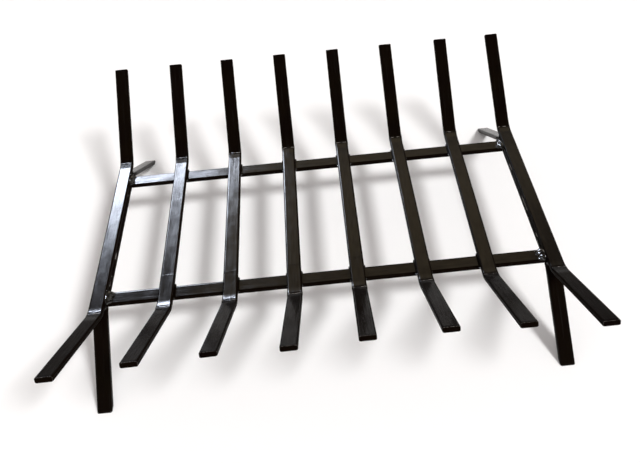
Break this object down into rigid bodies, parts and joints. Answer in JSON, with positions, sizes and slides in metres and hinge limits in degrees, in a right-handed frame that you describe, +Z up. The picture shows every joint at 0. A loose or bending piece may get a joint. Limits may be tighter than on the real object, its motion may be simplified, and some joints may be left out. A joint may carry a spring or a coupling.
{
  "type": "log grate",
  "caption": "Low fireplace grate of flat steel bars bent up at front and back to cradle logs, welded across two cross bars, with a splayed leg strap under each side.",
  "frame": {"origin": "on the hearth floor, under the middle of the grate's outer box", "axes": "+X along the cross bars, to the right seen from the front; +Y to the back of the hearth; +Z up"},
  "size_m": [0.606, 0.5423, 0.1649],
  "materials": {
    "black_finish": "semi-gloss black heat-proof finish over hot-rolled flat bar, with streaks along the bars",
    "black_weld": "lumpy weld beads under the same black finish, shinier than the bars"
  },
  "bodies": {
    "root": {"bar_1": "black_finish", "bar_2": "black_finish", "bar_3": "black_finish", "bar_4": "black_finish", "bar_5": "black_finish", "bar_6": "black_finish", "bar_7": "black_finish", "bar_8": "black_finish", "front_cross_bar": "black_finish", "rear_cross_bar": "black_finish", "left_leg_strap": "black_finish", "right_leg_strap": "black_finish", "front_left_weld": "black_weld", "front_right_weld": "black_weld", "rear_left_weld": "black_weld", "rear_right_weld": "black_weld", "bar_2_welds": "black_weld", "bar_3_welds": "black_weld", "bar_4_welds": "black_weld", "bar_5_welds": "black_weld", "bar_6_welds": "black_weld", "bar_7_welds": "black_weld", "left_strap_welds": "black_weld", "right_strap_welds": "black_weld"}
  },
  "joints": []
}
